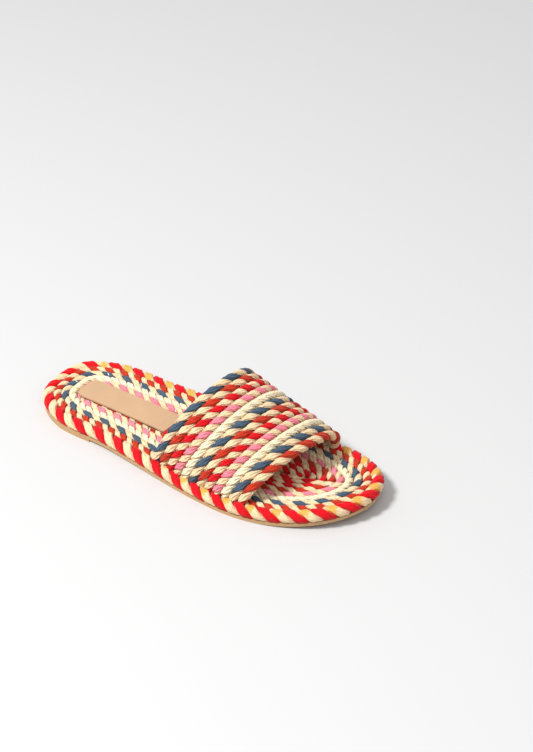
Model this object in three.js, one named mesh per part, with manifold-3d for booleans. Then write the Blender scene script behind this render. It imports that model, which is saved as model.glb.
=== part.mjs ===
// A slip-on rope sandal for the right foot, in millimetres, +Z up, toe towards +Y, little toe towards +X.
// Leather sheet and heel lift below, a coiled rope footbed with a thick rim rope on them, a leather
// patch let into its heel, and one strap of twelve ropes with its ends let down beside the rim rope.

import * as THREE from 'three';
import { mergeVertices } from 'three/addons/utils/BufferGeometryUtils.js';
import Module from 'manifold-3d';

const wasm = await Module();
wasm.setup();

// Driving dimensions: the sole
const soleLength = 254;
const ballWidth = 97;
const heelLiftHeight = 1.8;
const sheetThickness = 2.2;
const sheetInset = 1;
const toeSpring = 7;

// Driving dimensions: ropes of the footbed
const rimRope = 7.4;
const bedPitch = 4.7;
const bedThickness = 6.8;
const bedRidge = 1.5;
const toeCrowding = 1.5;

// Driving dimensions: the leather patch
const patchWidth = 20.5;
const patchLength = 75;
const patchFromHeel = 20;
const patchThickness = 1.2;
const patchSunk = 0.8;
const patchCorner = 6;

// Driving dimensions: the strap
const strapBackRise = 48;
const strapFrontRise = 25;
const strapThickness = 5.4;
const strapOuterRidge = 1.3;
const strapInnerRidge = 1.2;
const strapTab = 1.8;
const strapLean = 4.6;

// Room between pieces that touch
const clearance = 0.3;

const bedRopes = 9;
const strapRopes = 12;

// Places along the sole, as shares of its length
const heelBreast = 0.225;
const waistEnd = 0.62;
const springStart = 0.72;
const crowdingStart = 0.7;

// The rim seen from above, anticlockwise from the heel: across in half ball widths, along in lengths
const outlineShares = [
  { across: 0, along: 0 },
  { across: 0.445, along: 0.022 },
  { across: 0.742, along: 0.113 },
  { across: 0.79, along: 0.274 },
  { across: 0.885, along: 0.424 },
  { across: 0.985, along: 0.58 },
  { across: 1, along: 0.703 },
  { across: 0.875, along: 0.811 },
  { across: 0.61, along: 0.906 },
  { across: 0.27, along: 0.968 },
  { across: -0.15, along: 1 },
  { across: -0.6, along: 0.975 },
  { across: -0.915, along: 0.878 },
  { across: -1, along: 0.742 },
  { across: -0.95, along: 0.582 },
  { across: -0.865, along: 0.425 },
  { across: -0.8, along: 0.275 },
  { across: -0.755, along: 0.115 },
  { across: -0.48, along: 0.019 },
];

// The strap's two edges. Feet are shares of the sole's length, pulls are shares of the way across from
// the outer foot, lifts are shares of that edge's rise, and lean is the way forward per unit of lift.
const strapEdges = {
  back: { outerFoot: 0.432, innerFoot: 0.467, outerPull: -0.03, innerPull: 1.29,
    outerLift: 1.21, innerLift: 1.45, lean: 0.44 },
  front: { outerFoot: 0.742, innerFoot: 0.792, outerPull: 0.03, innerPull: 1.03,
    outerLift: 1.37, innerLift: 1.29, lean: 0.36 },
};

// Half of one rope's section across the strap: where, as a share of the pitch, and how deep, as a share
// of the ridge
const ridgeOutside = [
  { at: 0, depth: 1 },
  { at: 0.2, depth: 0.3 },
  { at: 0.5, depth: 0 },
  { at: 0.8, depth: 0.3 },
];
const ridgeInside = [
  { at: 0, depth: 1 },
  { at: 0.5, depth: 0 },
];

// One rope of the footbed, from its outer edge inward, in shares of the pitch and of the ridge
const ridgeOnBed = [
  { at: 0.22, depth: 0.25 },
  { at: 0.5, depth: 0 },
  { at: 0.78, depth: 0.25 },
  { at: 1, depth: 1 },
];

const { clamp, lerp } = THREE.MathUtils;

// Curves in plan: loops of Vector2, anticlockwise, the heel's end first

function resample(loop, count) {
  const lengths = [0];
  loop.forEach((point, i) => {
    lengths.push(lengths[i] + point.distanceTo(loop[(i + 1) % loop.length]));
  });
  const total = lengths[loop.length];
  const points = [];
  let i = 0;
  for (let k = 0; k < count; k += 1) {
    const target = total * k / count;
    while (lengths[i + 1] < target) i += 1;
    const share = (target - lengths[i]) / (lengths[i + 1] - lengths[i]);
    points.push(loop[i].clone().lerp(loop[(i + 1) % loop.length], share));
  }
  return points;
}

const outlineSamples = 720;
const outline = resample(
  new THREE.CatmullRomCurve3(
    outlineShares.map(({ across, along }) => (
      new THREE.Vector3(across * ballWidth / 2, along * soleLength, 0)
    )),
    true,
    'centripetal',
  ).getSpacedPoints(outlineSamples).slice(0, outlineSamples).map(({ x, y }) => new THREE.Vector2(x, y)),
  outlineSamples,
);

const inwardNormals = outline.map((point, i) => {
  const before = outline[(i + outlineSamples - 2) % outlineSamples];
  const after = outline[(i + 2) % outlineSamples];
  const along = after.clone().sub(before).normalize();
  return new THREE.Vector2(-along.y, along.x);
});

// The outline moved inward. Points that fall nearer to another stretch of it are dropped, and with them
// the narrow end of a loop that closes like a wedge.
function inset(distance) {
  const slack = 0.1;
  const wedge = 0.4;
  const stretch = 40;
  const nearest = (i, j) => {
    const apart = Math.min(Math.abs(i - j), outlineSamples - Math.abs(i - j));
    return apart > stretch ? distance + wedge : distance - slack;
  };
  return outline
    .map((point, i) => point.clone().addScaledVector(inwardNormals[i], distance))
    .filter((point, i) => outline.every((other, j) => point.distanceTo(other) > nearest(i, j)));
}

// The loop's two flanks, each from heel to toe
function flanks(loop) {
  const ys = loop.map(({ y }) => y);
  const heel = ys.indexOf(Math.min(...ys));
  const turned = [...loop.slice(heel), ...loop.slice(0, heel)];
  const toe = turned.map(({ y }) => y).indexOf(Math.max(...ys));
  return { outer: turned.slice(0, toe + 1), inner: [...turned.slice(toe), turned[0]].reverse() };
}

// Whether a loop lies wholly inside another one
function liesWithin(loop, other) {
  const sides = other.map((point, i) => [point, other[(i + 1) % other.length]]);
  const turn = (a, b, c) => (b.x - a.x) * (c.y - a.y) - (b.y - a.y) * (c.x - a.x);
  const covered = (point) => sides.filter(([a, b]) => (
    a.y > point.y !== b.y > point.y && turn(a, b, point) > 0 === b.y > a.y
  )).length % 2 === 1;
  const cuts = (a, b) => sides.some(([c, d]) => (
    turn(a, b, c) > 0 !== turn(a, b, d) > 0 && turn(c, d, a) > 0 !== turn(c, d, b) > 0
  ));
  return loop.every(covered) && !loop.some((point, i) => cuts(point, loop[(i + 1) % loop.length]));
}

function acrossAt(flank, y) {
  const above = flank.findIndex((point) => point.y > y);
  const next = above === -1 ? flank.length - 1 : Math.max(above, 1);
  const [before, after] = [flank[next - 1], flank[next]];
  const share = clamp((y - before.y) / (after.y - before.y || 1), 0, 1);
  return lerp(before.x, after.x, share);
}

// Sections across a loop, closer together at its round ends, from one place along it to another
function sectionsOf(loop, count, from = -Infinity, to = Infinity) {
  const { outer, inner } = flanks(loop);
  const start = Math.max(from, outer[0].y);
  const end = Math.min(to, outer[outer.length - 1].y);
  return Array.from({ length: count + 1 }, (unused, i) => {
    const y = lerp(start, end, (1 - Math.cos(Math.PI * i / count)) / 2);
    return { y, right: acrossAt(outer, y), left: acrossAt(inner, y) };
  });
}

// Heights along the sole

function underside(y) {
  const share = y / soleLength;
  const waist = clamp((share - heelBreast) / (waistEnd - heelBreast), 0, 1);
  const toe = clamp((share - springStart) / (1 - springStart), 0, 1);
  return heelLiftHeight * (1 + Math.cos(Math.PI * waist)) / 2 + toeSpring * toe ** 2;
}

const deck = (y) => underside(y) + sheetThickness + clearance;
const bedTop = (y) => deck(y) + bedThickness;

// Meshes are gathered as loose triangles, then their shared corners are merged

class Surface {
  constructor() {
    this.corners = [];
  }

  triangle(a, b, c) {
    const area = b.clone().sub(a).cross(c.clone().sub(a)).length() / 2;
    const least = 1e-6;
    if (area > least) this.corners.push(a, b, c);
  }

  quad(a, b, c, d) {
    this.triangle(a, b, c);
    this.triangle(a, c, d);
  }

  // Fills a flat-lying ring, or the band between two, with faces up or down. Corners keep their height.
  fill(contour, hole, up) {
    const plan = (ring) => ring.map(({ x, y }) => new THREE.Vector2(x, y));
    const corners = [...contour, ...hole];
    const faces = THREE.ShapeUtils.triangulateShape(plan(contour), hole.length ? [plan(hole)] : []);
    faces.forEach(([i, j, k]) => {
      const [a, b, c] = [corners[i], corners[j], corners[k]];
      const turn = (b.x - a.x) * (c.y - a.y) - (b.y - a.y) * (c.x - a.x);
      if (turn > 0 === up) this.triangle(a, b, c);
      else this.triangle(a, c, b);
    });
  }

  geometry() {
    const loose = new THREE.BufferGeometry().setFromPoints(this.corners);
    const merged = mergeVertices(loose, 1e-4);
    merged.computeVertexNormals();
    return merged;
  }
}

const at = (x, y, z) => new THREE.Vector3(x, y, z);

function solidOf(geometry) {
  const bare = new THREE.BufferGeometry();
  bare.setAttribute('position', geometry.getAttribute('position'));
  if (geometry.index) bare.setIndex(geometry.index);
  const merged = mergeVertices(bare, 1e-4);
  return new wasm.Manifold(new wasm.Mesh({
    numProp: 3,
    vertProperties: Float32Array.from(merged.getAttribute('position').array),
    triVerts: Uint32Array.from(merged.index.array),
  }));
}

function geometryOf(solid) {
  const { vertProperties, triVerts } = solid.getMesh();
  const geometry = new THREE.BufferGeometry();
  geometry.setAttribute('position', new THREE.BufferAttribute(vertProperties, 3));
  geometry.setIndex(new THREE.BufferAttribute(triVerts, 1));
  geometry.computeVertexNormals();
  return geometry;
}

// A sheet over sections across it, between two heights that follow the length
function sheetOver(sections, bottomAt, topAt) {
  const surface = new Surface();
  const corners = sections.map(({ y, left, right }) => ({
    rightLow: at(right, y, bottomAt(y)),
    rightHigh: at(right, y, topAt(y)),
    leftLow: at(left, y, bottomAt(y)),
    leftHigh: at(left, y, topAt(y)),
  }));
  corners.slice(1).forEach((next, i) => {
    const here = corners[i];
    surface.quad(here.rightHigh, next.rightHigh, next.leftHigh, here.leftHigh);
    surface.quad(here.leftLow, next.leftLow, next.rightLow, here.rightLow);
    surface.quad(here.rightLow, next.rightLow, next.rightHigh, here.rightHigh);
    surface.quad(next.leftLow, here.leftLow, here.leftHigh, next.leftHigh);
  });
  const first = corners[0];
  const last = corners[corners.length - 1];
  surface.quad(first.leftLow, first.rightLow, first.rightHigh, first.leftHigh);
  surface.quad(last.rightLow, last.leftLow, last.leftHigh, last.rightHigh);
  return surface.geometry();
}

// The leather under the ropes

function outsoleGeometry() {
  const sections = sectionsOf(inset(sheetInset), 46);
  return sheetOver(sections, underside, (y) => underside(y) + sheetThickness);
}

function heelLiftGeometry() {
  const sections = sectionsOf(inset(sheetInset), 22, 0, heelBreast * soleLength - clearance);
  return sheetOver(sections, () => 0, () => heelLiftHeight - clearance);
}

// The thick rope round the rim, laid on the leather sheet

function rimRopeGeometry() {
  const sides = 10;
  const steps = 84;
  const path = resample(inset(rimRope / 2), steps);
  const rings = path.map((point, i) => {
    const before = path[(i + steps - 1) % steps];
    const after = path[(i + 1) % steps];
    const along = after.clone().sub(before).normalize();
    return Array.from({ length: sides }, (unused, k) => {
      const angle = 2 * Math.PI * (k + 0.5) / sides;
      const outward = Math.cos(angle) * rimRope / 2;
      const centre = deck(point.y) + rimRope / 2;
      return at(
        point.x + along.y * outward,
        point.y - along.x * outward,
        centre + Math.sin(angle) * rimRope / 2,
      );
    });
  });
  const surface = new Surface();
  rings.forEach((ring, i) => {
    const next = rings[(i + 1) % steps];
    ring.forEach((corner, k) => {
      const up = (k + 1) % sides;
      surface.quad(corner, next[k], next[up], ring[up]);
    });
  });
  return surface.geometry();
}

// The coil of thinner rope, ring inside ring. Towards the toe the rings lie further apart.

const bedEdge = rimRope + clearance;

function bedLoop(distance) {
  const loop = inset(distance);
  const leastCorners = 8;
  if (loop.length < leastCorners) return [];
  const ring = (distance - bedEdge) / bedPitch;
  const pulled = loop.map(({ x, y }) => {
    const share = clamp((y / soleLength - crowdingStart) / (1 - crowdingStart), 0, 1);
    return new THREE.Vector2(x, y - toeCrowding * ring * share);
  });
  const around = pulled.reduce((sum, point, i) => (
    sum + point.distanceTo(pulled[(i + 1) % pulled.length])
  ), 0);
  const [outerSpacing, innerSpacing] = [8, 4.5];
  const spacing = lerp(outerSpacing, innerSpacing, clamp(ring / bedRopes, 0, 1));
  const fewest = 16;
  return resample(pulled, Math.max(fewest, Math.round(around / spacing)));
}

// The slots beside the rim rope that the strap's ends go down into
function strapSlot(side) {
  const depthOfSlot = strapTab + 2 * clearance;
  const overlap = 1;
  const edge = flanks(inset(bedEdge - overlap))[side];
  const floor = flanks(inset(bedEdge + depthOfSlot - clearance))[side];
  const foot = side === 'outer' ? 'outerFoot' : 'innerFoot';
  const from = soleLength * strapEdges.back[foot] - strapOverhang - clearance;
  const to = soleLength * strapEdges.front[foot] + strapOverhang + clearance;
  const steps = 12;
  const sections = Array.from({ length: steps + 1 }, (unused, i) => {
    const y = lerp(from, to, i / steps);
    const [a, b] = [acrossAt(edge, y), acrossAt(floor, y)];
    return { y, left: Math.min(a, b), right: Math.max(a, b) };
  });
  const past = 2 * bedThickness;
  return solidOf(sheetOver(sections, () => -past, (y) => bedTop(y) + past));
}

function patchSections(room) {
  const halfWidth = patchWidth / 2 + room;
  const corner = patchCorner + room;
  const start = patchFromHeel - room;
  const end = patchFromHeel + patchLength + room;
  const cornerSteps = 6;
  const bodySteps = 10;
  const rounded = Array.from({ length: cornerSteps }, (unused, i) => {
    const angle = Math.PI / 2 * i / cornerSteps;
    return {
      y: start + corner * (1 - Math.cos(angle)),
      half: halfWidth - corner * (1 - Math.sin(angle)),
    };
  });
  const straight = Array.from({ length: bodySteps + 1 }, (unused, i) => ({
    y: lerp(start + corner, end, i / bodySteps),
    half: halfWidth,
  }));
  return [...rounded, ...straight].map(({ y, half }) => ({ y, left: -half, right: half }));
}

const patchBottom = (y) => bedTop(y) - patchSunk;

function patchGeometry() {
  return sheetOver(patchSections(0), patchBottom, (y) => patchBottom(y) + patchThickness);
}

function footbedGeometry() {
  const edgeSections = sectionsOf(inset(bedEdge), 40);
  const edge = [
    ...edgeSections.map(({ y, right }) => new THREE.Vector2(right, y)),
    ...edgeSections.slice(1, -1).reverse().map(({ y, left }) => new THREE.Vector2(left, y)),
  ];
  const raised = (loop, depth) => loop.map(({ x, y }) => at(x, y, bedTop(y) - depth));
  const surface = new Surface();
  const base = edge.map(({ x, y }) => at(x, y, deck(y)));
  let rim = raised(edge, bedRidge);
  base.forEach((corner, i) => {
    const next = (i + 1) % base.length;
    surface.quad(corner, base[next], rim[next], rim[i]);
  });
  edgeSections.slice(1).forEach((next, i) => {
    const here = edgeSections[i];
    surface.quad(
      at(here.left, here.y, deck(here.y)),
      at(next.left, next.y, deck(next.y)),
      at(next.right, next.y, deck(next.y)),
      at(here.right, here.y, deck(here.y)),
    );
  });
  for (let rope = 0; rope < bedRopes; rope += 1) {
    ridgeOnBed.forEach(({ at: share, depth }) => {
      const last = rope === bedRopes - 1 && share > 0.5;
      const ring = raised(bedLoop(bedEdge + bedPitch * (rope + share)), bedRidge * depth);
      if (last || ring.length === 0 || !liesWithin(ring, rim)) return;
      surface.fill(rim, ring, true);
      rim = ring;
    });
  }
  surface.fill(rim, [], true);
  const recess = solidOf(sheetOver(
    patchSections(clearance),
    (y) => patchBottom(y) - clearance,
    (y) => bedTop(y) + bedThickness,
  ));
  return geometryOf(
    solidOf(surface.geometry())
      .subtract(strapSlot('outer'))
      .subtract(strapSlot('inner'))
      .subtract(recess),
  );
}

// The strap: its outer face is an arch from foot to foot, ruled from the back edge to the front one

const strapRises = { back: strapBackRise, front: strapFrontRise };
const strapEnds = { outer: flanks(inset(strapLean)).outer, inner: flanks(inset(strapLean)).inner };
const strapFootRoom = 0.9;

function strapFace(along, across) {
  const of = (name) => lerp(strapEdges.back[name], strapEdges.front[name], across);
  const rise = (name) => (
    lerp(
      strapRises.back * strapEdges.back[name],
      strapRises.front * strapEdges.front[name],
      across,
    )
  );
  const foot = (name, side) => {
    const y = soleLength * of(name);
    return at(acrossAt(strapEnds[side], y), y, deck(y) + rimRope + strapFootRoom);
  };
  const start = foot('outerFoot', 'outer');
  const end = foot('innerFoot', 'inner');
  const nearStart = 3 * along * (1 - along) ** 2;
  const nearEnd = 3 * along ** 2 * (1 - along);
  const way = nearStart * of('outerPull') + nearEnd * of('innerPull') + along ** 3;
  const lift = nearStart * rise('outerLift') + nearEnd * rise('innerLift');
  const point = start.lerp(end, way);
  point.y += lift * of('lean');
  point.z += lift;
  return point;
}

function strapPoint(along, across, depth) {
  const step = 1e-3;
  const from = clamp(along, step, 1 - step);
  const forward = strapFace(from + step, across).sub(strapFace(from - step, across));
  const sideways = strapFace(from, across + step).sub(strapFace(from, across - step));
  const inward = forward.cross(sideways).normalize();
  return strapFace(along, across).addScaledVector(inward, depth);
}

const strapOverhang = 1;
const overhangShare = 0.012;

// Corners round the strap's section: outside from back to front, then inside from front to back.
// depth is a share of the ridge, and side says which face the ridge is on.
function strapSection() {
  const ropes = Array.from({ length: strapRopes }, (unused, i) => i);
  const places = (profile, side) => [
    ...ropes.flatMap((rope) => profile.map(({ at: share, depth }) => (
      { across: (rope + share) / strapRopes, depth, side }
    ))),
    { across: 1, depth: 1, side },
  ];
  return [
    ...places(ridgeOutside, 'outside'),
    { across: 1 + overhangShare, depth: 0, side: 'middle' },
    ...places(ridgeInside, 'inside').reverse(),
    { across: -overhangShare, depth: 0, side: 'middle' },
  ];
}

// How deep a corner lies under the strap's outer face, for a wall of some thickness
function depthOf({ depth, side }, thickness, fullness) {
  if (side === 'outside') return depth * strapOuterRidge * fullness;
  if (side === 'inside') return thickness - depth * strapInnerRidge * fullness;
  return thickness / 2;
}

// A strap end in its slot: a thin tab beside the rim rope
function tabRing(section, side, height) {
  const sign = side === 'outer' ? 1 : -1;
  const wall = flanks(inset(bedEdge))[side];
  const foot = side === 'outer' ? 'outerFoot' : 'innerFoot';
  return section.map((corner) => {
    const y = soleLength * lerp(strapEdges.back[foot], strapEdges.front[foot], corner.across);
    const depth = depthOf(corner, strapTab, 0);
    return at(acrossAt(wall, y) - sign * depth, y, deck(y) + height);
  });
}

function strapGeometry() {
  const section = strapSection();
  const tabShare = 0.84;
  const tabHeight = tabShare * rimRope;
  const steps = 22;
  const full = 0.045;
  const footFullness = 0.7;
  const shares = [0, full];
  for (let i = 1; i < steps - 1; i += 1) shares.push(lerp(full, 1 - full, i / (steps - 1)));
  shares.push(1 - full, 1);
  const rings = [
    tabRing(section, 'outer', 0),
    tabRing(section, 'outer', tabHeight),
    ...shares.map((along) => {
      const fullness = along === 0 || along === 1 ? footFullness : 1;
      return section.map((corner) => (
        strapPoint(along, corner.across, depthOf(corner, strapThickness * fullness, fullness))
      ));
    }),
    tabRing(section, 'inner', tabHeight),
    tabRing(section, 'inner', 0),
  ];
  const surface = new Surface();
  rings.slice(1).forEach((next, i) => {
    const here = rings[i];
    here.forEach((corner, k) => {
      const beside = (k + 1) % here.length;
      surface.quad(corner, here[beside], next[beside], next[k]);
    });
  });
  surface.fill(rings[0], [], false);
  surface.fill(rings[rings.length - 1], [], false);
  return surface.geometry();
}

// Finishes

const finish = (color, roughness) => new THREE.MeshStandardMaterial({ color, roughness, metalness: 0 });

const leatherEdge = finish('#cdaa7d', 0.6);
const leatherPatch = finish('#e8c396', 0.55);
const redRope = finish('#d8333a', 0.85);
const creamRope = finish('#ead9b4', 0.85);
const strapRope = finish('#dd9a86', 0.85);

const sandal = new THREE.Group();

function add(name, geometry, material) {
  const mesh = new THREE.Mesh(geometry, material);
  mesh.name = name;
  sandal.add(mesh);
}

add('heel_lift', heelLiftGeometry(), leatherEdge);
add('outsole', outsoleGeometry(), leatherEdge);
add('edge_rope', rimRopeGeometry(), redRope);
add('footbed', footbedGeometry(), creamRope);
add('sock_patch', patchGeometry(), leatherPatch);
add('upper_band', strapGeometry(), strapRope);

// The origin lies on the ground under the middle of the sole's outline
const xs = outline.map(({ x }) => x);
sandal.position.set(-(Math.min(...xs) + Math.max(...xs)) / 2, -soleLength / 2, 0);

export default sandal;
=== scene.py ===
"""The looks of a rope slide sandal: twisted ropes, sewing thread, leather, floor, light and camera."""

import math

import bmesh
import bpy
import numpy as np
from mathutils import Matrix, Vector


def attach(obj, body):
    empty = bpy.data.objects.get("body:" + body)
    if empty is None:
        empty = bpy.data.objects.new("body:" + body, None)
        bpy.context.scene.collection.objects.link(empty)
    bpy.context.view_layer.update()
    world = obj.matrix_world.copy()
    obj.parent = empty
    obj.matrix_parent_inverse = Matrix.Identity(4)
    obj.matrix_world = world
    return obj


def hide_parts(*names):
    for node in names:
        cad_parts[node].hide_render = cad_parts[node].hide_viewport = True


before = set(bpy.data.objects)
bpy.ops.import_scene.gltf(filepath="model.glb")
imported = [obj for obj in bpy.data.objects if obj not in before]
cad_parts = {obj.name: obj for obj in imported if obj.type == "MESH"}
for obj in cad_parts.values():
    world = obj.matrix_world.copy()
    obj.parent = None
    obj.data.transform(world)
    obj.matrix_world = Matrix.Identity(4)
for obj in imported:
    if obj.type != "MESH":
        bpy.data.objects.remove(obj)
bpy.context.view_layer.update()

bl_info = {
    "name": "Rope slide sandal",
    "version": (1, 0, 0),
    "blender": (4, 5, 0),
    "location": "View3D > Sidebar > Sandal",
    "description": "Dresses the packed sandal with twisted ropes, thread and leather",
    "category": "Object",
}

MM = 0.001
BODY = "root"
UP = (0.0, 0.0, 1.0)

# Each strand is itself twisted from yarns: how many lie round it, and their ridges in one turn of the rope
YARNS = 7
YARN_TURNS = 6

# Where a strand's middle lies from the rope's middle, and its half depth there, in rope thicknesses
STRAND_OFF_CENTRE = 0.23
STRAND_HALF_DEPTH = 0.27

# How finely a rope is made: rows in one turn, sides of a strand, how deep its yarns stand out, and half
# a strand's width in rope thicknesses. The strap's ropes are seen closest.
STRAP_MAKE = (36, 24, 0.2, 0.46)
SOLE_MAKE = (24, 16, 0.0, 0.43)

# The rim from above, anticlockwise from the heel: across in half ball widths, along in sole lengths. The
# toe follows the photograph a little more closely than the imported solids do.
OUTLINE = [
    (0, 0), (0.445, 0.022), (0.742, 0.113), (0.79, 0.274), (0.885, 0.424), (0.985, 0.58),
    (1, 0.703), (0.875, 0.811), (0.61, 0.906), (0.27, 0.965), (-0.15, 0.9905), (-0.58, 0.968),
    (-0.907, 0.877), (-1, 0.742), (-0.95, 0.582), (-0.865, 0.425), (-0.8, 0.275),
    (-0.755, 0.115), (-0.48, 0.019),
]

# Places along the sole, in sole lengths: the heel lift's front, the end of the rise after it, where the
# toe begins to lift, and where the rings begin to lie further apart
HEEL_BREAST = 0.225
WAIST_END = 0.62
SPRING_START = 0.72
CROWDING_START = 0.7

# The strap's edges: feet in sole lengths, pulls in ways across, lifts in rises, lean per unit of lift
STRAP_BACK = dict(outer_foot=0.432, inner_foot=0.467, outer_pull=-0.03, inner_pull=1.29,
                  outer_lift=1.21, inner_lift=1.45, lean=0.41)
STRAP_FRONT = dict(outer_foot=0.742, inner_foot=0.792, outer_pull=0.03, inner_pull=1.03,
                   outer_lift=1.37, inner_lift=1.29, lean=0.36)

# The rim rope: thickness in rim sizes, as its strands press together, mm of lay, and where in its turn
# the dyed strand starts
RIM_FULLNESS = 1.12
RIM_LAY = 17.45
RIM_PHASE = 2.75

# Where the rim's pale strand shows ochre, in the frame's metres, from none to full: along the front,
# across to the inner side, and along from the heel there. Then the way that the ochre part of the strand
# faces (up, outward), and how far round it reaches, as the least cosine, without ochre and with it.
OCHRE_FRONT = (-0.03, 0.02)
OCHRE_INNER = (0.0, -0.02)
OCHRE_HEEL = (-0.125, -0.095)
OCHRE_FACING = (0.87, -0.5, 0.0)
OCHRE_REACH = (1.2, 0.25)

# The footbed's ropes from the rim inward: dyed strand, pale strand, mm of lay, mm moved outward, mm of
# thickness, and where in its turn the dyed strand starts
BED_ROPES = [
    ("rust", "cream", 10.94, 0.7, 6.0, 6.02),
    ("navy", "cream", 14.4, 0.4, 5.6, 5.4),
    ("ivory", "ivory", 12.5, 0.1, 5.4, 1.4),
    ("pink", "cream", 13.0, 0.0, 5.3, 2.1),
    ("rust", "cream", 12.0, 0.0, 5.3, 2.8),
    ("red", "cream", 12.5, 0.0, 5.3, 3.5),
    ("red", "cream", 12.5, 0.0, 5.3, 4.2),
    ("red", "cream", 12.0, 0.0, 5.3, 4.9),
    ("red", "cream", 11.5, 0.0, 5.3, 5.6),
]

# The short ropes that fill the slots inside two of the inner rings: which rings, mm of thickness, mm of
# lay and where in its turn the first strand starts
CORE_RINGS = (6, 7)
CORE_ROPE = (4.4, 11.0, 0.6)

# The strap's ropes from back to front: dyed strand, mm of lay, mm from the outer foot to the middle of
# its first dyed patch
STRAP_ROPES = [
    ("navy", 16.2, -1.7), ("rust", 15.5, -7.1), ("red", 12.7, 1.6), ("pink", 12.5, -4.7),
    ("ivory", 14.0, 0.0), ("navy", 16.2, 2.2), ("rust", 16.9, -5.8), ("red", 12.0, -1.3),
    ("pink", 11.4, 4.9), ("ivory", 14.0, 0.0), ("navy", 17.2, -4.5), ("rust", 15.6, -1.8),
]

# All of them: mm of thickness, height in widths, and how strongly their yarns stand out, in the bump and in
# the painted shade between the yarns
STRAP_ROPE = 6.3
STRAP_FLATNESS = 0.92
STRAP_RELIEF = 0.6

# Where the strap goes down beside the rim rope, in mm: how far its foot is under the rim's top, how far
# it overlaps the rim there, the heights over the deck of the ropes' hidden ends, and the length of rope
# that this hides
FOOT_DROP = 0.4
RIM_OVERLAP = 0.3
HIDDEN_ENDS = (1.5, 5.5)
HIDDEN_RUN = 8.0

# How the leather patch lies, in mm: its bevelled edge, how far it goes down between the ropes and stands
# over them, the radius of its corners at the heel and at the front, how deep the ropes are pressed under
# it, how far out beside it that reaches, and how long the press takes to fade
PATCH_BEVEL = 0.35
PATCH_SUNK = 0.8
PATCH_PROUD = 0.35
PATCH_CORNERS = (6.0, 1.5)
PRESS = 2.1
PRESS_REACH = 2.6
PRESS_FADE = 1.5

# The coil's filling under its ropes, a dark sheet that stands for the painted shade in the gaps between
# them, lies this far under their tops, in mm
FILLING_DROP = 2.6

# The sewing thread: its rings with their place in pitches from the rim and mm from stitch to stitch, its
# half thickness and its height over the ropes in mm, a stitch's length in pitches, and its slant
SEWING = {"sewing_outer": (1.5, 27.0), "sewing_inner": (4.0, 24.0)}
THREAD = 0.38
THREAD_PROUD = 0.1
STITCH_SPAN = 0.75
STITCH_SLANT = 0.5

# The camera, as fitted to the sole's outline in the photograph: places in metres, and the focal length
# and the height of the picture in pixels
CAMERA_PLACE = (1.0811, 0.8313, 0.9791)
CAMERA_AIM = (-0.0945, -0.0211, 0.0)
FOCAL_PIXELS = 2568.85
PHOTO_HEIGHT = 752
SENSOR = 36.0

# The lamps, aimed at the sandal: place, width in metres, power. Then the room's light and the floor.
LAMPS = {"key": ((1.1, -0.5, 1.75), 0.5, 47), "fill": ((1.3, 1.1, 1.9), 1.4, 8)}
ROOM_LIGHT = 0.62
FLOOR_GREY = 0.6
FLOOR_HALF = 6.0


def srgb(red, green, blue):
    """A colour from its three screen values."""
    def linear(value):
        value /= 255
        return value / 12.92 if value <= 0.04045 else ((value + 0.055) / 1.055) ** 2.4
    return (linear(red), linear(green), linear(blue))


def colour(name, description, default):
    return bpy.props.FloatVectorProperty(
        name=name, description=description, default=default, size=3, subtype="COLOR", min=0, max=1,
    )


def length(name, description, millimetres):
    return bpy.props.FloatProperty(
        name=name, description=description, default=millimetres * MM, unit="LENGTH", precision=4,
    )


class SandalSizes(bpy.types.PropertyGroup):
    """The sandal's sizes, as built."""

    sole: length("Sole length", "Outer length of the sole", 254)
    ball: length("Ball width", "Width across the ball of the foot", 97)
    lift: length("Heel lift", "Height of the leather under the heel", 1.8)
    sheet: length("Sheet", "Thickness of the leather sheet", 2.2)
    sheet_inset: length("Sheet inset", "How far the leather stays inside the rim rope", 1)
    spring: length("Toe spring", "Height of the toe over the ground", 7)
    rim: length("Rim rope", "Thickness of the rope round the rim", 7.4)
    pitch: length("Bed pitch", "Distance between the rings of the footbed", 4.7)
    bed: length("Bed thickness", "Height of the coil over the leather", 6.8)
    crowding: length("Toe crowding", "Extra room between the rings at the toe", 1.5)
    clearance: length("Clearance", "Room between touching pieces", 0.3)
    patch_width: length("Patch width", "Width of the leather patch", 20.5)
    patch_length: length("Patch length", "Length of the leather patch", 75)
    patch_start: length("Patch start", "Distance of the patch from the heel", 24)
    back_rise: length("Back rise", "Height of the strap's back edge over its feet", 49.2)
    front_rise: length("Front rise", "Height of the strap's front edge over its feet", 25)
    strap: length("Strap thickness", "Thickness of the strap over its ropes", 5.4)
    strap_inset: length("Strap inset", "How far the strap's feet stand inside the rim", 3.9)


class SandalColours(bpy.types.PropertyGroup):
    """The colours of the yarns and the leather."""

    cream: colour("Cream", "Pale strand of most ropes", srgb(249, 218, 174))
    ivory: colour("Ivory", "Pale ropes of the coil and the strap", srgb(255, 238, 202))
    red: colour("Red", "Bright red strand", srgb(228, 8, 24))
    rust: colour("Rust", "Brick red strand", srgb(202, 54, 24))
    navy: colour("Navy", "Grey blue strand", srgb(74, 94, 114))
    pink: colour("Pink", "Rose strand", srgb(253, 142, 160))
    ochre: colour("Ochre", "Yarn that shows along the rim rope's pale strand", srgb(226, 165, 66))
    thread: colour("Thread", "Sewing thread", srgb(244, 238, 222))
    patch: colour("Patch", "Leather patch", srgb(193, 157, 121))
    sole: colour("Sole", "Leather of the sole", srgb(187, 149, 104))


def sizes():
    return bpy.context.scene.sandal_sizes


def colours():
    return bpy.context.scene.sandal_colours


def mm(value):
    """A size in millimetres, from one in metres."""
    return value / MM


# The sole's shape, in millimetres from the heel


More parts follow.
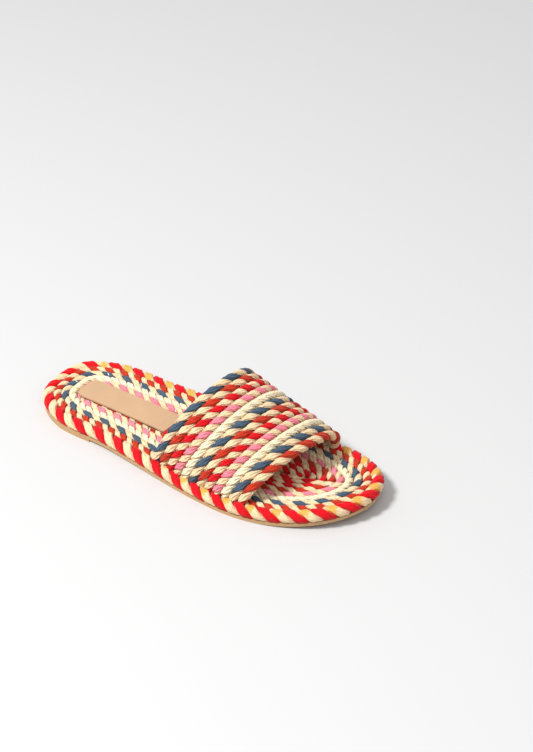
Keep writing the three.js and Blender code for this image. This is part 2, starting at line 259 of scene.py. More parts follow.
def closed_curve(points, steps):
    """A centripetal curve through a closed ring of points."""
    points = np.array(points, float)
    count = len(points)
    made = []
    for i in range(count):
        p0, p1, p2, p3 = (points[(i + k) % count] for k in (-1, 0, 1, 2))
        d0, d1, d2 = (np.linalg.norm(b - a) ** 0.5 for a, b in ((p0, p1), (p1, p2), (p2, p3)))
        out = ((p1 - p0) / d0 - (p2 - p0) / (d0 + d1) + (p2 - p1) / d1) * d1
        into = ((p2 - p1) / d1 - (p3 - p1) / (d1 + d2) + (p3 - p2) / d2) * d1
        t = np.linspace(0, 1, steps, endpoint=False)[:, None]
        made.append(p1 + out * t + (3 * (p2 - p1) - 2 * out - into) * t**2
                    + (2 * (p1 - p2) + out + into) * t**3)
    return np.vstack(made)


def resample(loop, count):
    """A closed ring given again as evenly spaced points."""
    ring = np.vstack([loop, loop[:1]])
    run = np.r_[0, np.cumsum(np.linalg.norm(np.diff(ring, axis=0), axis=1))]
    at = np.linspace(0, run[-1], count, endpoint=False)
    return np.stack([np.interp(at, run, ring[:, k]) for k in range(ring.shape[1])], -1)


def smoothed(loop, rounds):
    """A closed ring eased by averaging each point with its neighbours."""
    for _ in range(rounds):
        loop = (np.roll(loop, 1, 0) + 2 * loop + np.roll(loop, -1, 0)) / 4
    return loop


def outline():
    """The sole's outline, anticlockwise from the heel."""
    half = mm(sizes().ball) / 2
    sole = mm(sizes().sole)
    return resample(closed_curve([(a * half, b * sole) for a, b in OUTLINE], 60), 1200)


def inset(distance):
    """The outline moved inward, without the points that fall nearer to another stretch of it."""
    slack = 0.1
    rim = outline()
    along = np.roll(rim, -3, 0) - np.roll(rim, 3, 0)
    along /= np.linalg.norm(along, axis=1)[:, None]
    moved = rim + np.c_[-along[:, 1], along[:, 0]] * distance
    nearest = np.sqrt(((moved[:, None] - rim[None, ::2]) ** 2).sum(2)).min(1)
    return moved[nearest > distance - slack]


def underside(y):
    """Height of the leather's underside: over the heel lift, down to the ball and up to the toe."""
    share = y / mm(sizes().sole)
    waist = np.clip((share - HEEL_BREAST) / (WAIST_END - HEEL_BREAST), 0, 1)
    toe = np.clip((share - SPRING_START) / (1 - SPRING_START), 0, 1)
    return mm(sizes().lift) * (1 + np.cos(np.pi * waist)) / 2 + mm(sizes().spring) * toe**2


def deck(y):
    """Height on which the ropes lie."""
    return underside(y) + mm(sizes().sheet) + mm(sizes().clearance)


def bed_top(y):
    """Height of the footbed's rope tops."""
    return deck(y) + mm(sizes().bed)


def bed_edge():
    """How far inside the outline the coil begins."""
    return mm(sizes().rim) + mm(sizes().clearance)


def rope_ring(index):
    """The middle of one of the footbed's ropes in plan."""
    return bed_ring(bed_edge() + mm(sizes().pitch) * (index + 0.5) - BED_ROPES[index][3])


def bed_ring(distance):
    """One ring of the coil in plan, drawn back from the toe as the rings lie further apart there."""
    spacing, fewest = 1.5, 24
    loop = inset(distance)
    ring = (distance - bed_edge()) / mm(sizes().pitch)
    share = (loop[:, 1] / mm(sizes().sole) - CROWDING_START) / (1 - CROWDING_START)
    loop[:, 1] -= mm(sizes().crowding) * ring * np.clip(share, 0, 1)
    around = np.linalg.norm(np.diff(np.vstack([loop, loop[:1]]), axis=0), axis=1).sum()
    return smoothed(resample(loop, max(fewest, int(around / spacing))), 6)


def flank_at(loop, y, side):
    """Where a loop's outer (+1) or inner (-1) flank lies across, at a place along the sole."""
    flank = loop[loop[:, 0] * side > 0]
    flank = flank[np.argsort(flank[:, 1])]
    return np.interp(y, flank[:, 1], flank[:, 0])


def placed(points):
    """Points in millimetres from the heel, put in the frame in metres."""
    rim = outline()
    middle = (rim[:, 0].min() + rim[:, 0].max()) / 2
    return (np.asarray(points) - (middle, mm(sizes().sole) / 2, 0)) * MM


class StrapFace:
    """The strap's outer face: an arch from foot to foot, ruled from its back edge to its front one."""

    def __init__(self):
        self.feet = inset(mm(sizes().strap_inset))
        self.wall = inset(bed_edge() - RIM_OVERLAP)

    def foot(self, share, side):
        """Where the face stands on the outer (+1) or inner (-1) side, at a share of the sole's length."""
        y = share * mm(sizes().sole)
        x = flank_at(self.feet, y, side)
        return np.array([x, y, deck(y) + mm(sizes().rim) - FOOT_DROP])

    def points(self, along, across):
        """Points of the face: along from the outer foot to the inner one, across from back to front."""
        def of(name):
            return STRAP_BACK[name] + (STRAP_FRONT[name] - STRAP_BACK[name]) * across

        def rise(name):
            back = mm(sizes().back_rise) * STRAP_BACK[name]
            return back + (mm(sizes().front_rise) * STRAP_FRONT[name] - back) * across

        start = self.foot(of("outer_foot"), 1)
        end = self.foot(of("inner_foot"), -1)
        near_start = 3 * along * (1 - along) ** 2
        near_end = 3 * along**2 * (1 - along)
        way = near_start * of("outer_pull") + near_end * of("inner_pull") + along**3
        lift = near_start * rise("outer_lift") + near_end * rise("inner_lift")
        made = start + (end - start) * way[:, None]
        made[:, 1] += lift * of("lean")
        made[:, 2] += lift
        return made

    def rope(self, across, depth):
        """The middle line of a rope under the face, let down beside the rim rope at both ends."""
        along = np.linspace(0, 1, 121)
        step = 1e-3
        forward = np.gradient(self.points(along, across), axis=0)
        sideways = self.points(along, across + step) - self.points(along, across - step)
        inward = np.cross(forward, sideways)
        inward /= np.linalg.norm(inward, axis=1)[:, None]
        body = self.points(along, across) + inward * depth
        ends = []
        for foot, side in (("outer_foot", 1), ("inner_foot", -1)):
            y = (STRAP_BACK[foot] + (STRAP_FRONT[foot] - STRAP_BACK[foot]) * across) * mm(sizes().sole)
            x = flank_at(self.wall, y, side)
            ends.append(np.array([[x, y, deck(y) + height] for height in HIDDEN_ENDS]))
        rough = np.vstack([ends[0], body, ends[1][::-1]])
        run = np.r_[0, np.cumsum(np.linalg.norm(np.diff(rough, axis=0), axis=1))]
        at = np.arange(0, run[-1], 1.0)
        line = np.stack([np.interp(at, run, rough[:, k]) for k in range(3)], -1)
        for _ in range(3):
            line[1:-1] = (line[:-2] + 2 * line[1:-1] + line[2:]) / 4
        return line


# Node helpers

def node(tree, kind, inputs=None, **settings):
    """A node with its settings, its inputs given as values or as sockets to link."""
    made = tree.nodes.new(kind)
    for name, value in settings.items():
        setattr(made, name, value)
    for key, value in (inputs or {}).items():
        if isinstance(value, bpy.types.NodeSocket):
            tree.links.new(value, made.inputs[key])
        else:
            made.inputs[key].default_value = value
    return made


def calc(tree, operation, *values):
    return node(tree, "ShaderNodeMath", dict(enumerate(values)), operation=operation).outputs[0]


def product(tree, *values):
    made = values[0]
    for value in values[1:]:
        made = calc(tree, "MULTIPLY", made, value)
    return made


def noise(tree, place, scale, detail, **others):
    given = {"Vector": place, "Scale": scale, "Detail": detail, **others}
    return node(tree, "ShaderNodeTexNoise", given).outputs[0]


def vector(tree, operation, *values):
    made = node(tree, "ShaderNodeVectorMath", operation=operation)
    for index, value in enumerate(values):
        target = made.inputs["Scale"] if operation == "SCALE" and index == 1 else made.inputs[index]
        if isinstance(value, bpy.types.NodeSocket):
            tree.links.new(value, target)
        else:
            target.default_value = value
    return made.outputs["Value" if operation in ("LENGTH", "DOT_PRODUCT") else "Vector"]


def sockets(tree, inputs, outputs):
    """Gives a tree its named inputs and outputs."""
    for direction, entries in (("INPUT", inputs), ("OUTPUT", outputs)):
        for name, kind, default in entries:
            made = tree.interface.new_socket(name, in_out=direction, socket_type=kind)
            if default is not None:
                made.default_value = default


def rope_tree():
    """Two strands laid round each other along a path: the dyed one, then the pale one."""
    found = bpy.data.node_groups.get("laid_rope")
    if found:
        return found
    tree = bpy.data.node_groups.new("laid_rope", "GeometryNodeTree")
    sockets(
        tree,
        [
            ("Geometry", "NodeSocketGeometry", None),
            ("Thickness", "NodeSocketFloat", 0.006),
            ("Turns", "NodeSocketFloat", 10.0),
            ("Phase", "NodeSocketFloat", 0.0),
            ("Steps", "NodeSocketInt", 200),
            ("Sides", "NodeSocketInt", 12),
            ("Taper", "NodeSocketFloat", 0.0),
            ("Flatness", "NodeSocketFloat", 1.0),
            ("Yarn Depth", "NodeSocketFloat", 0.0),
            ("Width", "NodeSocketFloat", 0.46),
            ("Across", "NodeSocketVector", UP),
            ("Dyed", "NodeSocketMaterial", None),
            ("Pale", "NodeSocketMaterial", None),
        ],
        [("Geometry", "NodeSocketGeometry", None)],
    )
    given = node(tree, "NodeGroupInput").outputs
    strands = node(tree, "GeometryNodeJoinGeometry")
    for strand in (0, 1):
        rows = calc(tree, "ADD", given["Steps"], 1.0)
        columns = calc(tree, "ADD", given["Sides"], 1.0)
        grid = node(tree, "GeometryNodeMeshGrid", {
            "Size X": 1.0, "Size Y": 1.0, "Vertices X": rows, "Vertices Y": columns,
        })
        place = node(tree, "ShaderNodeSeparateXYZ", {
            "Vector": node(tree, "GeometryNodeInputPosition").outputs[0],
        })
        share = calc(tree, "ADD", place.outputs[0], 0.5)
        angle = product(tree, calc(tree, "ADD", place.outputs[1], 0.5), 2 * math.pi)
        sample = node(tree, "GeometryNodeSampleCurve", {
            "Curves": given["Geometry"], "Factor": share,
        }, mode="FACTOR", use_all_curves=True)
        tangent = sample.outputs["Tangent"]
        side = vector(tree, "NORMALIZE", vector(tree, "CROSS_PRODUCT", tangent, given["Across"]))
        up = vector(tree, "CROSS_PRODUCT", side, tangent)
        laid = calc(tree, "ADD", product(tree, share, given["Turns"], 2 * math.pi), given["Phase"])
        turn = calc(tree, "ADD", laid, strand * math.pi)
        cosine, sine = calc(tree, "COSINE", turn), calc(tree, "SINE", turn)
        outward = vector(tree, "ADD", vector(tree, "SCALE", up, cosine),
                         vector(tree, "SCALE", side, sine))
        beside = vector(tree, "SUBTRACT", vector(tree, "SCALE", side, cosine),
                        vector(tree, "SCALE", up, sine))
        # A rope that isn't a ring thins out at both ends
        from_end = calc(tree, "MINIMUM", share, calc(tree, "SUBTRACT", 1.0, share))
        fullness = node(tree, "ShaderNodeMapRange", {
            "Value": from_end, "From Min": 0.0, "From Max": given["Taper"], "To Min": 0.0, "To Max": 1.0,
        }, interpolation_type="SMOOTHSTEP").outputs[0]
        open_end = calc(tree, "GREATER_THAN", given["Taper"], 0.0)
        fullness = calc(tree, "ADD", product(tree, fullness, open_end),
                        calc(tree, "SUBTRACT", 1.0, open_end))
        # Each strand swells and thins along its way, by up to 8 % of its thickness
        apart = vector(tree, "ADD", sample.outputs["Position"], (strand * 0.7, 0.0, 0.0))
        plump = calc(tree, "ADD", product(tree, noise(tree, apart, 160.0, 1.0), 0.16), 0.92)
        thick = product(tree, given["Thickness"], fullness, plump)
        # Its yarns stand out as round ridges that wind about it
        twist = calc(tree, "ADD", product(tree, angle, YARNS), product(tree, laid, YARN_TURNS))
        ridge = calc(tree, "ABSOLUTE", calc(tree, "SINE", product(tree, twist, 0.5)))
        swell = calc(tree, "ADD", product(tree, calc(tree, "SUBTRACT", ridge, 0.8),
                                          given["Yarn Depth"]), 1.0)
        # Its section is an ellipse, broad round the rope and thin towards the rope's middle
        outer = product(tree, calc(tree, "COSINE", angle), STRAND_HALF_DEPTH, swell)
        radial = product(tree, calc(tree, "ADD", outer, STRAND_OFF_CENTRE), thick)
        round_way = product(tree, calc(tree, "SINE", angle), given["Width"], swell, thick)
        offset = vector(tree, "ADD", vector(tree, "SCALE", outward, radial),
                        vector(tree, "SCALE", beside, round_way))
        height = vector(tree, "DOT_PRODUCT", offset, up)
        less = product(tree, height, calc(tree, "SUBTRACT", given["Flatness"], 1.0))
        offset = vector(tree, "ADD", offset, vector(tree, "SCALE", up, less))
        # What the materials read has to be stored before the grid is moved, as it comes from its places
        lay = node(tree, "ShaderNodeCombineXYZ", {0: calc(tree, "COSINE", angle),
                                                  1: calc(tree, "SINE", angle), 2: laid})
        stored = node(tree, "GeometryNodeStoreNamedAttribute", {
            "Geometry": grid.outputs["Mesh"], "Name": "lay", "Value": lay.outputs[0],
        }, data_type="FLOAT_VECTOR", domain="POINT")
        facing = node(tree, "ShaderNodeCombineXYZ", {0: cosine, 1: sine})
        turned = node(tree, "GeometryNodeStoreNamedAttribute", {
            "Geometry": stored.outputs[0], "Name": "facing", "Value": facing.outputs[0],
        }, data_type="FLOAT_VECTOR", domain="POINT")
        moved = node(tree, "GeometryNodeSetPosition", {
            "Geometry": turned.outputs[0],
            "Position": vector(tree, "ADD", sample.outputs["Position"], offset),
        })
        marked = node(tree, "GeometryNodeStoreNamedAttribute", {
            "Geometry": moved.outputs[0], "Name": "strand", "Value": float(strand),
        }, data_type="FLOAT", domain="FACE")
        merged = node(tree, "GeometryNodeMergeByDistance", {
            "Geometry": marked.outputs[0], "Distance": 1e-6,
        })
        tree.links.new(merged.outputs[0], strands.inputs[0])
    smooth = node(tree, "GeometryNodeSetShadeSmooth", {"Geometry": strands.outputs[0]})
    real = node(tree, "GeometryNodeRealizeInstances", {"Geometry": smooth.outputs[0]})
    which = node(tree, "GeometryNodeInputNamedAttribute", {"Name": "strand"}, data_type="FLOAT")
    is_pale = calc(tree, "GREATER_THAN", which.outputs[0], 0.5)
    pale = node(tree, "GeometryNodeSetMaterial", {
        "Geometry": real.outputs[0], "Selection": is_pale, "Material": given["Pale"],
    })
    dyed = node(tree, "GeometryNodeSetMaterial", {
        "Geometry": pale.outputs[0], "Selection": calc(tree, "SUBTRACT", 1.0, is_pale),
        "Material": given["Dyed"],
    })
    node(tree, "NodeGroupOutput", {"Geometry": dyed.outputs[0]})
    return tree


def path_object(name, points, closed):
    """A curve object through points in metres."""
    data = bpy.data.curves.new(name, "CURVE")
    data.dimensions = "3D"
    spline = data.splines.new("POLY")
    spline.points.add(len(points) - 1)
    spline.points.foreach_set("co", np.c_[points, np.ones(len(points))].ravel())
    spline.use_cyclic_u = closed
    made = bpy.data.objects.new(name, data)
    bpy.context.scene.collection.objects.link(made)
    return made


def through_nodes(source, tree, name, values):
    """Runs a curve or mesh through a tree and keeps the result as a plain mesh object."""
    modifier = source.modifiers.new(tree.name, "NODES")
    modifier.node_group = tree
    for item in tree.interface.items_tree:
        if item.item_type == "SOCKET" and item.in_out == "INPUT" and item.name in values:
            modifier[item.identifier] = values[item.name]
    depsgraph = bpy.context.evaluated_depsgraph_get()
    mesh = bpy.data.meshes.new_from_object(source.evaluated_get(depsgraph), depsgraph=depsgraph)
    mesh.name = name
    bpy.data.objects.remove(source)
    made = bpy.data.objects.new(name, mesh)
    bpy.context.scene.collection.objects.link(made)
    if not mesh.polygons:
        raise RuntimeError(f"{name} came out empty")
    return made


def outward_faces(mesh):
    """Turns every shell's faces outward."""
    work = bmesh.new()
    work.from_mesh(mesh)
    bmesh.ops.recalc_face_normals(work, faces=work.faces)
    work.to_mesh(mesh)
    work.free()


def run_length(points, closed):
    """Length of the line through points."""
    ring = np.vstack([points, points[:1]]) if closed else points
    return np.linalg.norm(np.diff(ring, axis=0), axis=1).sum()


def lay_rope(name, line, closed, thickness, lay, phase, dyed, pale,
             across=UP, flatness=1.0, make=SOLE_MAKE):
    """One two-strand rope along points in millimetres. lay and thickness are in millimetres too."""
    steps, sides, depth, width = make
    points, thickness, lay = placed(line), thickness * MM, lay * MM
    total = run_length(points, closed)
    turns = total / lay
    if closed:
        turns = round(turns)
    made = through_nodes(path_object(name + "_path", points, closed), rope_tree(), name, {
        "Thickness": thickness,
        "Turns": float(turns),
        "Phase": phase,
        "Steps": int(turns * steps),
        "Sides": sides,
        "Yarn Depth": depth,
        "Width": width,
        "Taper": 0.0 if closed else min(0.1, 1.2 * thickness / total),
        "Flatness": flatness,
        "Across": across,
        "Dyed": dyed,
        "Pale": pale,
    })
    outward_faces(made.data)
    return made


# Shared shader groups

def group(name, inputs, outputs):
    """A shader group with its inputs and outputs, or, when it is already built, only the group."""
    found = bpy.data.node_groups.get(name)
    if found:
        return found, None, None
    tree = bpy.data.node_groups.new(name, "ShaderNodeTree")
    sockets(tree, inputs, outputs)
    return tree, node(tree, "NodeGroupInput").outputs, node(tree, "NodeGroupOutput").inputs


def yarn_group():
    """The fine yarns of one strand: a height for the bump, a mask of yarn tops, and the angle round it."""
    tree, given, result = group(
        "strand_yarns",
        [("Fuzz", "NodeSocketFloat", 0.35)],
        [("Height", "NodeSocketFloat", None), ("Tops", "NodeSocketFloat", None),
         ("Around", "NodeSocketFloat", None)],
    )
    if given is None:
        return tree
    lay = node(tree, "ShaderNodeAttribute", attribute_name="lay")
    part = node(tree, "ShaderNodeSeparateXYZ", {"Vector": lay.outputs["Vector"]}).outputs
    around = calc(tree, "ARCTAN2", part[1], part[0])
    twist = calc(tree, "ADD", product(tree, around, YARNS), product(tree, part[2], YARN_TURNS))
    place = node(tree, "ShaderNodeTexCoord").outputs["Object"]
    wander = calc(tree, "SUBTRACT", noise(tree, place, 420.0, 2.0), 0.5)
    wandering = calc(tree, "ADD", product(tree, twist, 0.5), product(tree, wander, 1.2))
    wave = calc(tree, "ABSOLUTE", calc(tree, "SINE", wandering))
    fuzz = noise(tree, place, 3200.0, 3.0, Roughness=0.65)
    height = calc(tree, "ADD", wave, product(tree, fuzz, given["Fuzz"]))
    tree.links.new(height, result["Height"])
    tree.links.new(wave, result["Tops"])
    tree.links.new(around, result["Around"])
    return tree


def grain_group():
    """Leather grain: a height, and a slow mottling of the colour."""
    tree, given, result = group(
        "leather_grain",
        [("Pores", "NodeSocketFloat", 900.0), ("Mottle", "NodeSocketFloat", 60.0)],
        [("Height", "NodeSocketFloat", None), ("Mottling", "NodeSocketFloat", None)],
    )
    if given is None:
        return tree
    place = node(tree, "ShaderNodeTexCoord").outputs["Object"]
    pores = node(tree, "ShaderNodeTexVoronoi", {"Vector": place, "Scale": given["Pores"]},
                 feature="SMOOTH_F1").outputs["Distance"]
    height = calc(tree, "ADD", pores, noise(tree, place, given["Pores"], 4.0))
    tree.links.new(height, result["Height"])
    tree.links.new(noise(tree, place, given["Mottle"], 3.0), result["Mottling"])
    return tree


def blank_material(name, roughness):
    """A new material, with its tree and its shader."""
    material = bpy.data.materials.new(name)
    material.use_nodes = True
    shader = material.node_tree.nodes["Principled BSDF"]
    shader.inputs["Roughness"].default_value = roughness
    return material, material.node_tree, shader


def mixed(tree, factor, first, second, blend="MIX"):
    """Two colours mixed by a factor, each a colour or a socket."""
    made = node(tree, "ShaderNodeMix", data_type="RGBA", blend_type=blend)
    for socket, value in (("Factor", factor), ("A", first), ("B", second)):
        target = next(s for s in made.inputs if s.name == socket and s.enabled)
        if isinstance(value, bpy.types.NodeSocket):
            tree.links.new(value, target)
        else:
            target.default_value = (*value, 1.0) if isinstance(value, tuple) else value
    return next(s for s in made.outputs if s.enabled)


def smooth_step(tree, value, low, high):
    return node(tree, "ShaderNodeMapRange", {
        "Value": value, "From Min": low, "From Max": high,
    }, interpolation_type="SMOOTHSTEP").outputs[0]


def darker(rgb, factor):
    return tuple(channel * factor for channel in rgb)


def ochre_mask(tree, place, fleck, around):
    """Where the rim's pale strand shows ochre: its upper, inner part at the front and the inner side."""
    across, along = node(tree, "ShaderNodeSeparateXYZ", {"Vector": place}).outputs[:2]
    front = smooth_step(tree, along, *OCHRE_FRONT)
    inner = product(tree, smooth_step(tree, across, *OCHRE_INNER), smooth_step(tree, along, *OCHRE_HEEL))
    facing = node(tree, "ShaderNodeAttribute", attribute_name="facing").outputs["Vector"]
    upper = vector(tree, "DOT_PRODUCT", facing, OCHRE_FACING)
    ragged = product(tree, calc(tree, "SUBTRACT", fleck, 0.5), 1.4)
    slanted = calc(tree, "ADD", calc(tree, "ADD", upper, ragged),
                   product(tree, calc(tree, "SINE", around), -0.35))
    edge = node(tree, "ShaderNodeMapRange", {
        "Value": calc(tree, "MAXIMUM", front, inner),
        "From Min": 0.0, "From Max": 1.0, "To Min": OCHRE_REACH[0], "To Max": OCHRE_REACH[1],
    }).outputs[0]
    return smooth_step(tree, calc(tree, "SUBTRACT", slanted, edge), -0.1, 0.3)


def strand_material(name, with_ochre=False, relief=0.4):
    """Cotton strand of one dye, a little uneven, with its yarns in the bump as strong as relief says, and
    painted shade in the valleys between the yarns, deeper as relief grows.
    """
    key = f"{name}_strand" + ("_ochre" if with_ochre else "") + ("_coarse" if relief > 0.5 else "")
    if key in bpy.data.materials:
        return bpy.data.materials[key]
    base = tuple(getattr(colours(), name))
    material, tree, shader = blank_material(key, 0.82)
    yarns = node(tree, "ShaderNodeGroup", node_tree=yarn_group())
    place = node(tree, "ShaderNodeTexCoord").outputs["Object"]
    shade = mixed(tree, noise(tree, place, 130.0, 2.0), darker(base, 0.82), darker(base, 1.08))
    fleck = noise(tree, place, 950.0, 1.5)
    flecked = mixed(tree, 1.0, shade, (0.84, 0.84, 0.84), "MULTIPLY")
    shade = mixed(tree, smooth_step(tree, fleck, 0.42, 0.62), flecked, shade)
    if with_ochre:
        mask = ochre_mask(tree, place, fleck, yarns.outputs["Around"])
        shade = mixed(tree, product(tree, mask, 0.92), shade, tuple(colours().ochre))
    # Painted shade: the colour darkens to 1 - 0.3 x relief in the valleys between the yarns, where the mask
    # of yarn tops falls to nothing
    painted_valley_shade = node(tree, "ShaderNodeMapRange", {
        "Value": yarns.outputs["Tops"], "From Min": 0.0, "From Max": 0.6,
        "To Min": 1.0 - 0.3 * relief, "To Max": 1.0,
    }).outputs[0]
    grey = node(tree, "ShaderNodeCombineColor", {0: painted_valley_shade, 1: painted_valley_shade, 2: painted_valley_shade}).outputs[0]
    tree.links.new(mixed(tree, 1.0, shade, grey, "MULTIPLY"), shader.inputs["Base Color"])
    bump = node(tree, "ShaderNodeBump", {
        "Height": yarns.outputs["Height"], "Strength": relief, "Distance": 0.0006,
    })
    tree.links.new(bump.outputs[0], shader.inputs["Normal"])
    shader.inputs["Sheen Weight"].default_value = 0.12
    shader.inputs["Sheen Roughness"].default_value = 0.5
    shader.inputs["Specular IOR Level"].default_value = 0.15
    return material


def leather_material(name, base, roughness, pores, strength):
    """Leather of one colour: how many pores to a metre, and how strongly its grain stands out."""
    material, tree, shader = blank_material(name, roughness)
    grain = node(tree, "ShaderNodeGroup", {"Pores": pores}, node_tree=grain_group())
    shade = mixed(tree, grain.outputs["Mottling"], darker(base, 0.86), darker(base, 1.1))
    tree.links.new(shade, shader.inputs["Base Color"])
    bump = node(tree, "ShaderNodeBump", {
        "Height": grain.outputs["Height"], "Strength": strength, "Distance": 0.0002,
    })
    tree.links.new(bump.outputs[0], shader.inputs["Normal"])
    return material


def thread_material():
    material, tree, shader = blank_material("sewing_thread", 0.6)
    place = node(tree, "ShaderNodeTexCoord").outputs["Object"]
    fibre = noise(tree, place, 2500.0, 2.0)
    base = tuple(colours().thread)
    tree.links.new(mixed(tree, fibre, darker(base, 0.85), base), shader.inputs["Base Color"])
    bump = node(tree, "ShaderNodeBump", {"Height": fibre, "Strength": 0.4, "Distance": 0.0001})
    tree.links.new(bump.outputs[0], shader.inputs["Normal"])
    return material


# Piece makers

def keep(piece, node_name):
    """Ties a finished piece to the sandal's body and hides the solid that it stands for."""
    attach(piece, BODY)
    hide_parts(node_name)


def mesh_object(name, vertices, faces, material, bevel):
    """A smooth closed mesh, its sharp edges rounded by a bevel in metres."""
    mesh = bpy.data.meshes.new(name)
    mesh.from_pydata([tuple(v) for v in vertices], [], faces)
    mesh.validate()
    outward_faces(mesh)
    mesh.materials.append(material)
    made = bpy.data.objects.new(name, mesh)
    bpy.context.scene.collection.objects.link(made)
    for polygon in mesh.polygons:
        polygon.use_smooth = True
    if bevel:
        edge = made.modifiers.new("edge", "BEVEL")
        edge.width = bevel
        edge.segments = 3
        edge.limit_method = "ANGLE"
        edge.angle_limit = math.radians(50)
        edge.harden_normals = True
    return made


def sheet_over(name, loop, steps, bottom, top, material, bevel=0.0, front=math.inf):
    """A sheet that fills a loop in plan between two heights that follow the length, up to its front."""
    tip = 0.02
    start, end = loop[:, 1].min() + tip, min(front, loop[:, 1].max() - tip)
    ys = start + (end - start) * (1 - np.cos(np.pi * np.arange(steps + 1) / steps)) / 2
    middle = loop[:, 0].mean()
    centred = loop - (middle, 0)
    right = flank_at(centred, ys, 1) + middle
    left = flank_at(centred, ys, -1) + middle
    ring = [(x, y) for x, y in zip(right, ys)] + [(x, y) for x, y in zip(left[::-1], ys[::-1])]
    count = len(ring)
    vertices = placed([(x, y, bottom(y)) for x, y in ring] + [(x, y, top(y)) for x, y in ring])
    faces = [(i, (i + 1) % count, count + (i + 1) % count, count + i) for i in range(count)]
    for j in range(steps):
        a, b, c, d = j, j + 1, count - 2 - j, count - 1 - j
        faces.append((d, c, b, a))
        faces.append((count + a, count + b, count + c, count + d))
    return mesh_object(name, vertices, faces, material, bevel * MM)


def make_leather():
    glue = 0.1
    edge = inset(mm(sizes().sheet_inset))
    material = leather_material("sole_leather", tuple(colours().sole), 0.55, 700.0, 0.35)
    sheet = sheet_over("sole_sheet", edge, 120, underside, lambda y: underside(y) + mm(sizes().sheet),
                       material, 0.35)
    keep(sheet, "outsole")
    lift = sheet_over("heel_block", edge, 60, lambda y: 0, lambda y: mm(sizes().lift) - glue,
                      material, 0.3, HEEL_BREAST * mm(sizes().sole))
    keep(lift, "heel_lift")


def make_rim():
    rim = mm(sizes().rim)
    plan = smoothed(resample(inset(rim / 2), 500), 3)
    rope = lay_rope("rim_rope", np.c_[plan, deck(plan[:, 1]) + rim / 2], True, RIM_FULLNESS * rim,
                    RIM_LAY, RIM_PHASE, strand_material("red"), strand_material("cream", with_ochre=True))
    keep(rope, "edge_rope")


def patch_extent():
    """The patch's half width, and where it starts and ends along the sole."""
    start = mm(sizes().patch_start)
    return mm(sizes().patch_width) / 2, start, start + mm(sizes().patch_length)


def under_patch(plan):
    """How far the ropes are pressed down under the leather patch."""
    half, start, end = patch_extent()
    margin = 0.5
    beside = np.clip((half + PRESS_REACH - np.abs(plan[:, 0])) / PRESS_FADE, 0, 1)
    from_start = np.clip((plan[:, 1] - start + margin) / PRESS_FADE, 0, 1)
    to_end = np.clip((end + margin - plan[:, 1]) / PRESS_FADE, 0, 1)
    return PRESS * beside * from_start * to_end


def on_bed(plan, sunk=0.0):
    """The footbed's rope middles over their places in plan."""
    height = bed_top(plan[:, 1]) - mm(sizes().pitch) / 2 - sunk
    return np.c_[plan, height - under_patch(plan)]


def coil_core(ring):
    """A short straight rope inside a ring, from its heel end or the patch up to the next ring."""
    overlap, tucked, shortest, reach, sunk = 1.5, 4, 4, 2.5, 0.4
    around, following = rope_ring(ring), rope_ring(ring + 1)
    _, _, patch_end = patch_extent()
    front = following[:, 1].min() + overlap
    back = min(max(around[:, 1].min() + overlap, patch_end - tucked), front - shortest)
    line = []
    for y in np.linspace(back, front, 16):
        near = around[np.abs(around[:, 1] - y) < reach, 0]
        line.append(((near.min() + near.max()) / 2, y))
    pale = strand_material("cream")
    return lay_rope(f"bed_core_{ring + 2:02d}", on_bed(np.array(line), sunk), False, *CORE_ROPE, pale, pale)


def make_bed():
    # The filling is cream darkened to 35 %: painted shade that shows in the gaps between the ropes
    painted_shade_filling = leather_material("bed_base", darker(tuple(colours().cream), 0.35), 0.9, 900.0, 0.3)
    base = sheet_over("bed_base", inset(bed_edge()), 60, deck, lambda y: bed_top(y) - FILLING_DROP, painted_shade_filling)
    keep(base, "footbed")
    for index, (dyed, pale, lay, _, thickness, phase) in enumerate(BED_ROPES):
        rope = lay_rope(f"bed_rope_{index + 2:02d}", on_bed(rope_ring(index)), True, thickness, lay, phase,
                        strand_material(dyed), strand_material(pale))
        keep(rope, "footbed")
    for ring in CORE_RINGS:
        keep(coil_core(ring), "footbed")


def make_patch():
    half, start, end = patch_extent()
    heel, front = PATCH_CORNERS
    turns = np.linspace(0, np.pi / 2, 9)
    ring = [(half - heel + heel * np.cos(t), start + heel - heel * np.sin(t)) for t in turns[::-1]]
    ring += [(half, y) for y in np.linspace(start + heel, end - front, 26)[1:-1]]
    ring += [(half - front + front * np.cos(t), end - front + front * np.sin(t)) for t in turns]
    ring += [(-x, y) for x, y in ring[::-1]]
    patch = sheet_over("heel_patch", np.array(ring), 60, lambda y: bed_top(y) - PATCH_SUNK,
                       lambda y: bed_top(y) + PATCH_PROUD,
                       leather_material("patch_leather", tuple(colours().patch), 0.55, 1100.0, 0.25),
                       PATCH_BEVEL)
    keep(patch, "sock_patch")


def make_strap():
    face = StrapFace()
    depth = mm(sizes().strap) / 2
    for index, (dyed, lay, first) in enumerate(STRAP_ROPES):
        line = face.rope((index + 0.5) / len(STRAP_ROPES), depth)
        phase = -2 * math.pi * (first + HIDDEN_RUN) / lay
        strands = [strand_material(name, relief=STRAP_RELIEF)
                   for name in (dyed, "ivory" if dyed == "ivory" else "cream")]
        rope = lay_rope(f"strap_rope_{index + 1:02d}", line, False, STRAP_ROPE, lay, phase, *strands,
                        across=(0.0, 1.0, 0.0), flatness=STRAP_FLATNESS, make=STRAP_MAKE)
        keep(rope, "upper_band")


